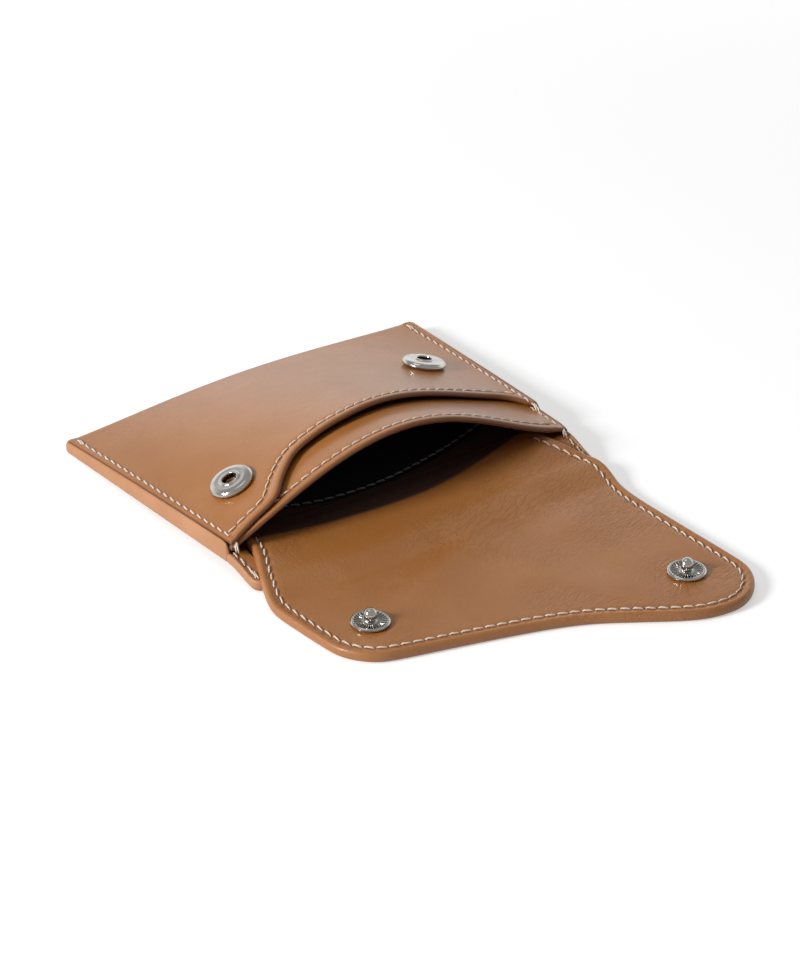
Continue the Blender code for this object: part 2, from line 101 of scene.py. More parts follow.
class Wiring:
    """A set of nodes, with one way to add a node to it."""

    def __init__(self, tree):
        self.tree = tree

    def node(self, kind, settings, inputs, give=0):
        made = self.tree.nodes.new("ShaderNode" + kind)
        for setting, value in settings.items():
            setattr(made, setting, value)
        for socket, value in inputs.items():
            self.feed(made.inputs[socket], value)
        return Signal(self, made.outputs[give])

    def feed(self, socket, value):
        if isinstance(value, Signal):
            self.tree.links.new(value.socket, socket)
        else:
            socket.default_value = value

    def ray(self, kind):
        return self.node("LightPath", {}, {}, give="Is " + kind + " Ray")


class Finish(Wiring):
    """A material with its shader."""

    def __init__(self, name, **steady):
        self.material = bpy.data.materials.new(name)
        self.material.use_nodes = True
        super().__init__(self.material.node_tree)
        self.shader = self.tree.nodes["Principled BSDF"]
        for socket, value in steady.items():
            self.shader.inputs[socket.replace("_", " ")].default_value = value

    def paint(self, socket, value):
        self.feed(self.shader.inputs[socket], value)

    def place(self, turn=0.0, longer=1.0, where=None):
        """Where a point is. A pattern on it runs along a turn and is longer that way."""
        where = where or self.node("TexCoord", {}, {}, give="Object")
        laid = {"Vector": where, "Rotation": (0, 0, turn), "Scale": (longer, 1, 1)}
        return self.node("Mapping", {"vector_type": "TEXTURE"}, laid)

    def noise(self, where, scale, detail=2.0, give=0, **more):
        knobs = {"Vector": where, "Scale": scale, "Detail": detail}
        knobs.update(more)
        return self.node("TexNoise", {}, knobs, give)

    def blend(self, share, first, second):
        """A colour between two colours."""
        settings = {"data_type": "RGBA"}
        return self.node("Mix", settings, {"Factor": share, 6: first, 7: second}, give=2)

    def attribute(self, name):
        return self.node("Attribute", {"attribute_name": name}, {}, give="Fac")

    def relief(self, height, strength=1.0):
        """Fine height in metres, felt as bumps."""
        bump = {"Height": height, "Distance": 1.0, "Strength": strength}
        self.paint("Normal", self.node("Bump", {}, bump))


scene = bpy.context.scene
scene.view_settings.view_transform = "Standard"

camera_place = Vector((-0.5627, -0.7961, 0.5963))
camera_aim = Vector((0.492, 0.702, -0.514)).to_track_quat("-Z", "Y").to_euler()
film_height = 36
focal_share = 4452 / 960
bpy.ops.object.camera_add(location=camera_place, rotation=camera_aim)
scene.camera = bpy.context.object
scene.camera.data.sensor_fit = "VERTICAL"
scene.camera.data.sensor_height = film_height
scene.camera.data.lens = film_height * focal_share

white = (1, 1, 1, 1)
table_white = (0.78, 0.78, 0.78, 1)
bpy.ops.mesh.primitive_plane_add(size=6, location=(0, 0, -0.0002))
table = bpy.context.object
table.name = "table_top"
top = Finish("table_top", Base_Color=table_white, Roughness=0.9, Specular_IOR_Level=0.0)
seen, in_gloss, in_glass = (top.ray(kind) for kind in ("Camera", "Glossy", "Transmission"))
where = top.node("TexCoord", {}, {}, give="Object")
far = top.node("VectorMath", {"operation": "LENGTH"}, {0: where}, give="Value").above(0.2, 0.9)
glow = seen * (0.45 + far * 0.5) + (in_gloss + in_glass) * 0.35
glow = top.node("Emission", {}, {"Color": white, "Strength": glow})
both = top.node("AddShader", {}, {0: Signal(top, top.shader.outputs[0]), 1: glow})
top.feed(top.tree.nodes["Material Output"].inputs["Surface"], both)
table.data.materials.append(top.material)


def lamp(name, way, distance, size, power):
    """A square soft lamp that faces the wallet from a way."""
    way = Vector(way).normalized()
    turn = way.to_track_quat("Z", "Y").to_euler()
    bpy.ops.object.light_add(type="AREA", location=way * distance, rotation=turn)
    made = bpy.context.object
    made.name = name
    made.data.shape = "SQUARE"
    made.data.size = size
    made.data.energy = power


lamp("lamp_left", (-0.89, 0.10, 0.46), 1.5, 0.34, 20)
lamp("lamp_over", (-0.10, 0.30, 0.95), 1.8, 0.7, 1.8)

world = bpy.data.worlds.new("studio_walls")
world.use_nodes = True
scene.world = world
walls = Wiring(world.node_tree)
way = walls.node("TexCoord", {}, {}, give="Generated")
behind, height = (
    walls.node("VectorMath", {"operation": "DOT_PRODUCT"}, {0: way, 1: towards}, give="Value")
    for towards in ((0.57, 0.82, 0.0), (0.0, 0.0, 1.0))
)
backdrop = behind.above(0.0, 0.55) * (1 - height.above(0.30, 0.62))
soft = 0.10 + behind.above(-0.7, 0.5) * 0.22 + height.above(0.3, 1.0) * 0.12
gloss, diffuse = walls.ray("Glossy"), walls.ray("Diffuse")
strength = (1 - gloss - diffuse) + gloss * (0.42 + backdrop * 0.83) + diffuse * soft
walls.feed(walls.tree.nodes["Background"].inputs["Strength"], strength)
walls.feed(walls.tree.nodes["Background"].inputs["Color"], white)

# The pouch's outer leather. One piece of smooth, lightly glazed tan calf runs
# up from the back round the bottom fold and over the front pocket. The front
# arches up, and ends in a turned lip sewn 3 mm from its edge.

fold_width = 0.112
mouth_width = 0.1072
pocket_depth = 0.076
back_end = 0.0877
flap_reach = 0.0753
fold_y = (back_end + flap_reach) / 2
leather_thickness = 0.0013
inner_thickness = 0.0012
lining_thickness = 0.0002
air = 0.0003
fold_stack = 0.003
mouth_stack = 0.0055
mouth_arch = 0.0184
fold_arch = 0.0028
fold_arch_length = 0.025
pocket_slack = 0.0018
side_rise = 0.0027
right_corner_lift = 0.001
back_end_rise = 0.0003
flat_share = 0.35
left_fullness = 0.35
stitch_pitch = 0.00315
lip_shares = (
    (-1.00, 1.000),
    (-0.85, 0.982),
    (-0.71, 0.968),
    (-0.59, 0.892),
    (-0.46, 0.828),
    (-0.30, 0.806),
    (-0.10, 0.796),
    (0.12, 0.778),
    (0.40, 0.756),
    (0.72, 0.736),
    (0.89, 0.750),
    (1.00, 0.830),
)


def placed(x, run, height):
    """Points across the wallet, at a run from the bottom fold, and at a height."""
    return np.stack([x, fold_y - run, height], axis=-1)


def mix(a, b, share):
    return a + (b - a) * share


def ease(share):
    share = np.clip(share, 0, 1)
    return share * share * (3 - 2 * share)


def through(stations, at):
    """A smooth curve's height at each place: it passes through every station."""
    places, heights = np.array(stations, float).T
    last = len(places) - 2
    index = np.clip(np.searchsorted(places, at, side="right") - 1, 0, last)
    before, after = np.maximum(index - 1, 0), np.minimum(index + 2, last + 1)
    run = places[index + 1] - places[index]
    share = np.clip((at - places[index]) / run, 0, 1)
    slope_in = run * (heights[index + 1] - heights[before]) / (places[index + 1] - places[before])
    slope_out = run * (heights[after] - heights[index]) / (places[after] - places[index])
    rise = heights[index + 1] - heights[index]
    bend = (slope_in + slope_out - 2 * rise) * share + 3 * rise - 2 * slope_in - slope_out
    return heights[index] + share * (slope_in + share * bend)


def half_width(depth):
    """Half the pouch's width: the seams draw together as the fronts arch up."""
    return mix(fold_width, mouth_width, depth / pocket_depth) / 2


def crown(u, depth):
    full = left_fullness * (np.maximum(depth, 0) / pocket_depth) ** 6 * (u < 0)
    return 1 - 1.7 * u**2 + 0.7 * u**4 + full * u**2 * (1 - u**2)


def seam_stack(depth):
    left = 1 - np.clip(depth / pocket_depth, 0, 1)
    return mix(mouth_stack, fold_stack, left**1.4)


def seam_rise(u, depth):
    share = np.clip(depth / pocket_depth, 0, 1)
    rise = side_rise * share + right_corner_lift * (1 + u) / 2 * (1 - share)
    return mix(rise, back_end_rise, ease((depth - pocket_depth) / (back_end - pocket_depth)))


def back_under(u, depth):
    """Under side of the back: flat in the middle, lifted at the seams and at the fold."""
    cup = np.maximum(np.abs(u) - flat_share, 0) / (1 - flat_share)
    near_fold = np.maximum(1 - depth / fold_arch_length, 0) ** 2
    return seam_rise(u, depth) * mix(cup**2, 1, near_fold) + fold_arch * near_fold * crown(u, 0)


def front_top(u, depth):
    arch = mix(fold_arch, mouth_arch + pocket_slack, depth / pocket_depth)
    return seam_rise(u, depth) + seam_stack(depth) + arch * crown(u, depth)


def front_face(x, run):
    """The front's outer face: the run starts at the top of the bottom fold's roll, goes on to
    the lip, and is less than 0 round the roll."""
    radius = fold_stack / 2
    on_front = np.maximum(run, 0)
    u = x / half_width(on_front)
    lip = pocket_depth * through(lip_shares, u)
    share = on_front / lip
    depth = mix(radius, lip, share)
    height = front_top(u, mix(on_front, depth, share))
    turn = pi / 2 + np.minimum(run, 0) / radius
    depth = np.where(run < 0, radius - radius * np.cos(turn), depth)
    height = np.where(run < 0, height - radius + radius * np.sin(turn), height)
    return placed(x, depth, height)


# Places in from a sewn edge, close together where the rim rolls over and the seam dips
edge_steps = [0, 0.03, 0.12, 0.27, 0.47, 0.72, 1.0, 1.35, 1.7, 2.05, 2.4, 2.7, 2.95, 3.15, 3.3, 3.5]
edge_steps = np.array(edge_steps + [3.75, 4.1, 4.6, 5.3, 6.2]) / 1000


def spread(count):
    """Shares from 0 to 1 as pairs: the part of the span, and metres in from either end."""
    left = [(0.0, step) for step in edge_steps]
    right = [(1.0, -step) for step in edge_steps[::-1]]
    inner = [(i / count, mix(left[-1][1], right[0][1], i / count)) for i in range(1, count)]
    return np.array(left + inner + right)


def facing(place, x, run):
    """Points on a face, and the way it faces there."""
    step = 2e-5
    across = place(x + step, run) - place(x - step, run)
    along = place(x, run + step) - place(x, run - step)
    normal = np.cross(along, across)
    return place(x, run), normal / np.linalg.norm(normal, axis=-1, keepdims=True)


def nearest(points, line):
    """How far each flat point is from a line of points, and how far along the line that is."""
    line = np.asarray(line)
    starts, legs = line[:-1], np.diff(line, axis=0)
    lengths = np.linalg.norm(legs, axis=1)
    runs = np.concatenate([[0], np.cumsum(lengths)])[:-1]
    gaps, alongs = np.empty(len(points)), np.empty(len(points))
    for first in range(0, len(points), 4000):
        some = points[first : first + 4000, None, :] - starts[None]
        share = np.clip((some * legs).sum(-1) / np.maximum(lengths, 1e-9) ** 2, 0, 1)
        away = np.linalg.norm(some - share[..., None] * legs, axis=-1)
        best = away.argmin(axis=1)
        rows = np.arange(len(best))
        gaps[first : first + 4000] = away[rows, best]
        alongs[first : first + 4000] = (runs + share * lengths)[rows, best]
    return gaps, alongs


def rim_half(edge, thickness, radius):
    """Half the leather's thickness at a distance in from its rounded rim."""
    inside = np.clip(edge / radius, 0, 1)
    return thickness / 2 * np.sqrt(1 - (1 - inside) ** 2)


dip_width = 0.0009


def sewn_dip(gap, depth=0.00022):
    """How far the thread pulls the leather down, at a distance from the seam."""
    return depth * hump(gap, dip_width)


def hump(distance, width, middle=0.0):
    """1 in the middle, and less and less at a distance from it."""
    return np.exp(-(((distance - middle) / width) ** 2))


def set_values(mesh, **values):
    """Keeps values on the mesh's points for its finish to read."""
    for name, numbers in values.items():
        kept = mesh.attributes.new(name, "FLOAT", "POINT")
        kept.data.foreach_set("value", np.asarray(numbers, np.float32))


def only(*pieces):
    bpy.ops.object.select_all(action="DESELECT")
    for piece in pieces:
        piece.select_set(True)
    bpy.context.view_layer.objects.active = pieces[0]


def named(piece, name):
    piece.name = name
    piece.data.name = name
    return piece


def shape(*steps):
    """Shapes the whole of the active piece in edit mode."""
    bpy.ops.object.mode_set(mode="EDIT")
    bpy.ops.mesh.select_all(action="SELECT")
    for step in steps:
        step()
    bpy.ops.object.mode_set(mode="OBJECT")


def weld(reach=2e-6):
    """Joins the points that meet, and turns the faces outwards."""
    bpy.ops.mesh.remove_doubles(threshold=reach)
    bpy.ops.mesh.normals_make_consistent(inside=False)


def grid_sheet(name, columns, rows, points_top, points_under, **values):
    """A closed sheet from two grids, one for each face, that meet all round the rim."""
    faces = []
    for points in (points_top, points_under):
        bpy.ops.mesh.primitive_grid_add(x_subdivisions=columns - 1, y_subdivisions=rows - 1, size=1)
        faces.append(bpy.context.object)
        faces[-1].data.vertices.foreach_set("co", points.reshape(-1))
        set_values(faces[-1].data, **values)
    return closed_sheet(name, *faces)


def closed_sheet(name, top, under):
    """Turns the under face over, joins both where they meet, and turns the whole outwards."""
    only(under)
    shape(bpy.ops.mesh.flip_normals)
    only(top, under)
    bpy.ops.object.join()
    shape(weld)
    bpy.ops.object.shade_smooth()
    return named(top, name)


def seam_values(flat, seams):
    """How far each flat point is from the nearest seam, and how far along that seam."""
    gap, along = np.full(len(flat), 1.0), np.zeros(len(flat))
    for line in seams:
        this_gap, this_along = nearest(flat, line)
        closer = this_gap < gap
        gap[closer], along[closer] = this_gap[closer], this_along[closer]
    return gap, along


def round_rim(grid):
    """The points of a flat grid in turn all round its rim."""
    return np.concatenate([grid[0], grid[1:, -1], grid[-1, ::-1][1:], grid[::-1, 0][1:]])


pouch_rim = 0.0009
swell_inset = 0.0013
swell_width = 0.0012


def pouch_sheet(name, place, half, start, lip, thickness, seams, rows_between, swell, under=False):
    """A panel whose columns follow the side seams and whose rows follow the lip. It hangs under
    its outer face, or lies over it where that is the under side."""
    spans = spread(56)
    rises = spread(rows_between)
    v_share, v_step = rises[:, 0][:, None], rises[:, 1][:, None]
    u_share, u_step = spans[:, 0][None, :], spans[:, 1][None, :]
    run = mix(start, 0.05, v_share) + v_step
    for _ in range(4):
        width = half(run)
        x = mix(-width, width, u_share) + u_step
        run = mix(start, lip(x / width), v_share) + v_step
    flat = np.stack(np.broadcast_arrays(x, run), axis=-1)
    rims = (pouch_rim, pouch_rim)
    return sewn_sheet(name, place, flat, thickness, seams, *rims, swell=swell, under=under)


def sewn_sheet(name, place, flat, thickness, seams, rim, painted, swell=0.0, dip=0.00022, under=False):
    """A sheet over a flat grid of points, with a rounded rim. It swells inside its rim, and its
    outer face dips at its seams."""
    points = flat.reshape(-1, 2)
    edge, _ = nearest(points, round_rim(flat))
    gap, along = seam_values(points, seams)
    base, normal = facing(place, *points.T)
    half_here = rim_half(edge, thickness, rim)
    roll = swell * hump(edge, swell_width, swell_inset) * (half_here * 2 / thickness)
    middle = thickness / 2 if under else -thickness / 2
    dips = sewn_dip(gap, dip)
    top = base + normal * (middle + half_here + roll - (0 if under else dips))[:, None]
    lower = base + normal * (middle - half_here + (dips if under else 0))[:, None]
    meet = edge < 1e-7
    lower[meet] = top[meet]
    values = {"seam_gap": gap, "seam_run": along, "rim": 1 - np.clip(edge / painted, 0, 1)}
    return grid_sheet(name, flat.shape[1], flat.shape[0], top, lower, **values)


def own_copy(piece):
    """A copy with its own mesh."""
    copy = piece.copy()
    copy.data = piece.data.copy()
    bpy.context.collection.objects.link(copy)
    return copy


def halves(sheet):
    """Parts a sheet down its middle, and keeps its shading across the cut."""
    mesh = sheet.data
    shading = np.array([vert.normal for vert in mesh.vertices], np.float32)
    kept = mesh.attributes.new("shading", "FLOAT_VECTOR", "POINT")
    kept.data.foreach_set("vector", shading.reshape(-1))
    parts = []
    for word, side in (("_left", -1), ("_right", 1)):
        part = named(own_copy(sheet), sheet.name + word)
        only(part)
        cut = {"plane_co": (0, 0, 0), "plane_no": (side, 0, 0), "threshold": 1e-6}
        shape(lambda: bpy.ops.mesh.bisect(use_fill=True, clear_inner=True, **cut))
        normals = np.empty(len(part.data.vertices) * 3, np.float32)
        part.data.attributes["shading"].data.foreach_get("vector", normals)
        part.data.normals_split_custom_set_from_vertices(normals.reshape(-1, 3))
        part.data.attributes.remove(part.data.attributes["shading"])
        parts.append(part)
    bpy.data.objects.remove(sheet)
    return parts


def front_lip(u):
    return pocket_depth * through(lip_shares, np.clip(u, -1, 1))


edge_paint_width = 0.0009


def sheet_half(run):
    """Half a panel's width: the edge paint goes outside it."""
    return half_width(np.maximum(run, 0)) - edge_paint_width


# The seams on the front: one along the lip, and one down each side
seam_end = 0.0010
seam_stop = 0.0012
fold_inset = 0.0031
side_inset = 0.0023
lip_inset = 0.0033
right_lip = pocket_depth * lip_shares[-1][1]


def lengths_along(line):
    """How far along a line each of its points is."""
    return np.concatenate([[0], np.cumsum(np.linalg.norm(np.diff(line, axis=0), axis=1))])


def across_way(line):
    """The way to the side of a flat line, at each of its points."""
    along = np.gradient(line, axis=0)
    along /= np.linalg.norm(along, axis=1, keepdims=True)
    return np.stack([along[:, 1], -along[:, 0]], axis=-1)


def lip_line(lip):
    """The lip's seam: the lip's own line, moved in square to itself."""
    u = np.linspace(-1.02, 1.02, 400)
    depth = lip(u)
    line = np.stack([u * half_width(depth), depth], axis=-1)
    line = line + lip_inset * across_way(line)
    return line[np.abs(line[:, 0]) < half_width(line[:, 1]) - side_inset]


def side_line(side, start, end):
    depth = np.linspace(start, end, 80)
    inset = mix(fold_inset, side_inset, depth / pocket_depth)
    return np.stack([side * (half_width(depth) - inset), depth], axis=-1)


front_seams = [
    lip_line(front_lip),
    side_line(-1, seam_end, pocket_depth - seam_stop),
    side_line(1, seam_end, right_lip - seam_stop),
]

tan = (0.40, 0.150, 0.034, 1)
tan_deep = (0.27, 0.088, 0.016, 1)
tan_worn = (0.47, 0.20, 0.062, 1)
edge_paint = (0.43, 0.178, 0.070, 1)
burnish = (0.20, 0.073, 0.026, 1)
# Painted shade: the dark brown of the pouch's inside, under the lips and in the mouth
inside_shade_brown = (0.040, 0.015, 0.008, 1)


def calf(
    name, crease=0.0, crease_turn=0.0, grain=1.0, painted=1.0, rays=0.0, rim_colour=burnish, faced=0.0
):
    """Smooth glazed calf with a fine grain. Where it is sewn it dips, and painted shade darkens the
    dip, the needle's holes and the wrinkles. Its cut rim is coloured, and where its inside value
    is set its colour is painted shade, dark brown, and it is matt."""
    skin = Finish(name, Coat_Roughness=0.16, IOR=1.48)
    gap = skin.attribute("seam_gap")
    run = skin.attribute("seam_run")
    rim = skin.attribute("rim")
    where = skin.place()
    cloud = skin.noise(where, 55.0, 3.0)
    fine = skin.noise(where, 900.0, 3.0)
    pores = skin.node("TexVoronoi", {"feature": "DISTANCE_TO_EDGE"}, {"Vector": where, "Scale": 2100.0})
    pore_lines = 1 - pores.above(0.0, 0.22)
    # Long fine wrinkles, one way on the whole piece, in patches
    bent = skin.noise(where, 30.0, 1.0, give="Color")
    shifted = {0: bent, 1: (0.02, 0.02, 0.02), 2: where}
    swirl = skin.node("VectorMath", {"operation": "MULTIPLY_ADD"}, shifted)
    lines = skin.place(crease_turn, 4.0, swirl)
    ridges = abs(skin.noise(lines, 720.0, 1.5) - 0.5)
    wrinkle = (1 - ridges.above(0.0, 0.09)) * skin.noise(where, 34.0, 1.0).above(0.40, 0.62)
    if rays:
        # Short wrinkles that fan out from the snap, and finer ones across the whole piece
        spoke = skin.attribute("snap_turn") * 3.2 + skin.noise(where, 130.0, 1.0) * 0.9
        fan = (1 - abs(spoke % 1.0 - 0.5).above(0.0, 0.22)) * skin.attribute("snap_near")
        across = abs(skin.noise(skin.place(crease_turn + 1.1, 3.0, swirl), 820.0, 1.0) - 0.5)
        across = (1 - across.above(0.0, 0.10)) * skin.noise(where, 60.0, 1.0).above(0.45, 0.65)
        wrinkle = wrinkle + fan * rays + across * 0.45 * rays
    # The needle's holes, between the stitches: painted shade, dark brown in each hole
    from_hole = abs((run + stitch_pitch / 2) % stitch_pitch - stitch_pitch / 2)
    hole_gap = (from_hole * from_hole + gap * gap) ** 0.5
    hole = 1 - hole_gap.above(0.00010, 0.00036)
    # Painted shade: the colour darkens in the dip along each seam
    seam_shade = 1 - gap.above(0.0002, 0.0009)
    colour = skin.blend(cloud.above(0.35, 0.7) * 0.55, tan, tan_worn)
    # Painted shade darkens the wrinkles' creases; the pores' fine lines are the grain's own colour
    colour = skin.blend(wrinkle * (0.24 * crease) + pore_lines * 0.10 + seam_shade * 0.22, colour, tan_deep)
    paint_share = rim.above(0.30, 0.75) * painted
    colour = skin.blend(paint_share, colour, rim_colour)
    colour = skin.blend(hole * 0.6, colour, (0.04, 0.014, 0.006, 1))
    # Painted shade: where the inside value is set, the colour turns dark brown and the leather matt
    facing = skin.attribute("inside") * faced
    skin.paint("Base Color", skin.blend(facing, colour, inside_shade_brown))
    skin.paint("Roughness", 0.34 + fine * 0.10 + paint_share * 0.14 + hole * 0.3 + facing * 0.35)
    skin.paint("Coat Weight", (0.32 - paint_share * 0.2) * (1 - facing))
    soft = skin.noise(where, 95.0, 2.0) * 0.00022
    pebbles = skin.noise(where, 1150.0, 1.0) * grain
    height = soft + pore_lines * (-0.000008 * grain) + pebbles * 0.00003
    height = height - wrinkle * (0.000056 * crease) - hole * 0.00016
    skin.relief(height)
    return skin.material


def press(part, side):
    """Bakes the part's place into its mesh."""
    seam_x = 0.060
    side * seam_x
    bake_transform(part)


def pressed_halves(sheet, finish, node):
    """A sheet's left and right half, in the place of its node."""
    sheet.data.materials.append(finish)
    parts = halves(sheet)
    for part, side in zip(parts, (-1, 1)):
        press(part, side)
    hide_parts(node)
    return parts


rim_swell = 0.00026
front_finish = calf("front_calf", crease=0.35, crease_turn=0.5)
front_start = -pi * fold_stack / 2
front = pouch_sheet(
    "front", front_face, sheet_half, front_start, front_lip, leather_thickness, front_seams, 60, rim_swell
)
pressed_halves(front, front_finish, "front_pocket")

stitch_length = 0.00285
thread_radius = 0.00025
thread_rise = 0.00002


def one_stitch():
    """One stitch of waxed thread: it bows up from its two holes and leans a little across."""
    bpy.ops.mesh.primitive_circle_add(
        vertices=6, radius=thread_radius, fill_type="NGON", rotation=(0, pi / 2, 0)
    )
    made = bpy.context.object
    bpy.ops.object.transform_apply(location=True, rotation=True, scale=True)
    steps = 6
    lean, bow = 0.00026, 0.00036
    move = {"value": (stitch_length / steps, 0, 0)}
    shape(*[lambda: bpy.ops.mesh.extrude_region_move(TRANSFORM_OT_translate=move)] * steps)
    shape(weld)
    lay = []
    for vert in made.data.vertices:
        share = 2 * vert.co.x / stitch_length - 1
        lay.append(vert.co.x / 0.00042 + vert.co.y / 0.0005)
        plump = sqrt(max(1 - 0.75 * share**4, 0))
        vert.co.x = share * stitch_length / 2
        vert.co.y = vert.co.y * plump - lean * share + 0.00010 * share**2
        vert.co.z = vert.co.z * plump + 0.00008 - bow * share**4
    set_values(made.data, lay=lay)
    bpy.ops.object.shade_smooth()
    bpy.context.collection.objects.unlink(made)
    return made


stitch = one_stitch()


def thread_finish(name, colour):
    """Twisted thread: its strands show as slanting lines."""
    thread = Finish(name, Sheen_Weight=0.25, Sheen_Roughness=0.5)
    lay = thread.attribute("lay")
    strand = abs(lay % 1.0 - 0.5) * 2
    fuzz = thread.noise(thread.place(), 2600.0, 2.0)
    dark = tuple(0.55 * part for part in colour[:3]) + (1,)
    thread.paint("Base Color", thread.blend(strand.above(0.55, 1.0) * 0.7 + fuzz * 0.2, colour, dark))
    thread.paint("Roughness", 0.62 + fuzz * 0.2)
    thread.relief(strand * -0.00004 + fuzz * 0.00002)
    return thread.material


cream_thread = thread_finish("cream_thread", (0.90, 0.75, 0.64, 1))
# The lips' thread is a little darker than the side seams' thread: painted shade, where it sinks into the
# seam's dip
shaded_thread = thread_finish("shaded_thread", (0.84, 0.67, 0.55, 1))
pale_thread = thread_finish("pale_thread", (0.34, 0.33, 0.32, 1))


def sew(name, place, lines, rise, finish, under=False, pitch=stitch_pitch, side=0):
    """Stitches along flat lines on a face, or only those on one side of the middle. The rise is
    the thread's height over the face."""
    copies = []
    for line in lines:
        runs = lengths_along(line)
        ends = np.arange(int(runs[-1] / pitch) + 1) * pitch
        x, run = np.interp(ends, runs, line[:, 0]), np.interp(ends, runs, line[:, 1])
        points, normals = facing(place, x, run)
        for index in range(len(ends) - 1):
            start, end = Vector(points[index]), Vector(points[index + 1])
            if (start.x + end.x) * side < 0:
                continue
            up = Vector(normals[index] + normals[index + 1]).normalized()
            if under:
                up = -up
            along = (end - start).normalized()
            aside = up.cross(along).normalized()
            up = along.cross(aside)
            turn = Matrix((along, aside, up)).transposed().to_4x4()
            copies.append(own_copy(stitch))
            copies[-1].data.transform(Matrix.Translation((start + end) / 2 + up * rise) @ turn)
    only(*copies)
    bpy.ops.object.join()
    made = named(bpy.context.object, name)
    made.data.materials.append(finish)
    return made


def back_tacks(*ends):
    """Stitches laid over each other where a seam starts or ends. Each end is a point and the way
    that the seam goes from it."""
    lines = []
    for point, way in ends:
        point, way = np.array(point, float), np.array(way, float)
        way *= stitch_pitch / np.linalg.norm(way)
        aside = np.array([way[1], -way[0]]) / stitch_pitch
        for shift, lean, back in ((0.0003, -0.0007, 0.0), (-0.0003, 0.0005, 0.15), (0.0001, 0.0002, -0.12)):
            start = point + aside * shift - way * back
            lines.append(start + np.linspace(0, 1.001, 5)[:, None] * (way + aside * lean))
    return lines


def on_both_halves(name, place, lines, rise, finish, **more):
    """Stitches on the front, as one piece on each half."""
    for word, side in (("left", -1), ("right", 1)):
        press(sew(name + "_" + word, place, lines, rise, finish, side=side, **more), side)


tack_x = half_width(0.0) - fold_inset
front_tacks = back_tacks(*[((side * tack_x, seam_end), (0, 1)) for side in (-1, 1)])
on_both_halves("front_thread", front_face, front_seams[1:], thread_rise, cream_thread)
on_both_halves("lip_thread", front_face, front_seams[:1], thread_rise, shaded_thread)
on_both_halves("front_tack", front_face, front_tacks, 0.00014, cream_thread)

# The inner pocket. A second panel of the same calf stands behind the front one, sewn into the
# side seams. Its lip runs straight across the mouth. Black cotton lines its back, and a strip of
# the calf faces the lining at the lip.

inner_start = 0.025
lining_start = 0.03
lining_inset = 0.009
facing_start = pocket_depth - 0.010
facing_end = pocket_depth - 0.001


def inner_face(x, run):
    u = x / half_width(run)
    slack = pocket_slack * run / pocket_depth * crown(u, run)
    return placed(x, run, front_top(u, run) - leather_thickness - air - slack)


def level_lip(depth):
    """A lip that runs straight across."""
    return lambda u: np.full(np.shape(u), depth)


straight_lip = level_lip(pocket_depth)
inner_seams = [
    lip_line(straight_lip),
    side_line(1, 0.80 * pocket_depth, pocket_depth - seam_stop),
]
inner = pouch_sheet(
    "inner", inner_face, sheet_half, inner_start, straight_lip, inner_thickness, inner_seams, 34, rim_swell
)
# Painted shade: where the front lip covers the inner panel, its colour turns dark brown, for the shade in
# the slot between the lips
faces = np.array([vert.co[:2] for vert in inner.data.vertices])
covered = front_lip(faces[:, 0] / half_width(fold_y - faces[:, 1])) - (fold_y - faces[:, 1])
set_values(inner.data, inside=ease(covered / 0.0012))
inner_calf = calf("inner_calf", crease=0.25, crease_turn=-0.4, faced=1.0)
inner_parts = pressed_halves(inner, inner_calf, "inner_pocket")
on_both_halves("inner_thread", inner_face, inner_seams, thread_rise, shaded_thread)


def cotton(name):
    """Black cotton twill: fine slanting ribs, and no gloss."""
    cloth = Finish(name, Specular_IOR_Level=0.25, Sheen_Weight=0.0)
    ribs = {"Vector": cloth.place(0.9), "Scale": 700.0, "Distortion": 1.2, "Detail": 1.0}
    wave = cloth.node("TexWave", {}, ribs)
    fuzz = cloth.noise(cloth.place(), 1500.0, 2.0)
    black, grey = (0.004, 0.0045, 0.006, 1), (0.012, 0.012, 0.014, 1)
    cloth.paint("Base Color", cloth.blend(wave * 0.5 + fuzz * 0.3, black, grey))
    cloth.paint("Roughness", 0.82 + fuzz * 0.12)
    cloth.relief(wave * 0.00004 + fuzz * 0.00003)
    return cloth.material


black_cotton = cotton("black_cotton")


def behind_inner(x, run):
    face, normal = facing(inner_face, x, run)
    return face - normal * (inner_thickness + air / 2)


def lining_sheet(name, place, inset, start, end, columns, rows, middle=-lining_thickness / 2):
    """A thin flat layer between a start and an end, set in from the side seams."""
    run = np.linspace(start, end, rows)[:, None]
    x = np.sin(np.linspace(-1, 1, columns) * pi / 2)[None, :] * (half_width(run) - inset)
    run, x = np.broadcast_arrays(run, x)
    points, normal = facing(place, x.reshape(-1), run.reshape(-1))
    rim = np.zeros(x.shape, bool)
    rim[0] = rim[-1] = rim[:, 0] = rim[:, -1] = True
    half_here = np.where(rim.reshape(-1), 0, lining_thickness / 2)[:, None]
    return plain_sheet(name, columns, rows, points, normal, middle, half_here)


def plain_sheet(name, columns, rows, points, normal, middle, half_here, **more):
    """A sheet without seams, half its thickness to either side of its middle."""
    plain = np.zeros(len(points))
    values = {"seam_gap": plain + 1, "seam_run": plain, "rim": plain, **more}
    top, under = points + normal * (middle + half_here), points + normal * (middle - half_here)
    return grid_sheet(name, columns, rows, top, under, **values)


def cloth_cut(place, inset, start, end):
    """The width, length and area that a lining was cut to."""
    run = np.linspace(start, end, 20)[:, None]
    x = np.linspace(-1, 1, 61)[None, :] * (half_width(run) - inset)
    run, x = np.broadcast_arrays(run, x)
    points = place(x.reshape(-1), run.reshape(-1)).reshape(20, 61, 3)
    widths = np.linalg.norm(np.diff(points, axis=1), axis=-1).sum(axis=1)
    length = np.linalg.norm(np.diff(points[:, 30], axis=0), axis=-1).sum()
    return float(widths.max()), float(length), float(widths.mean() * length)


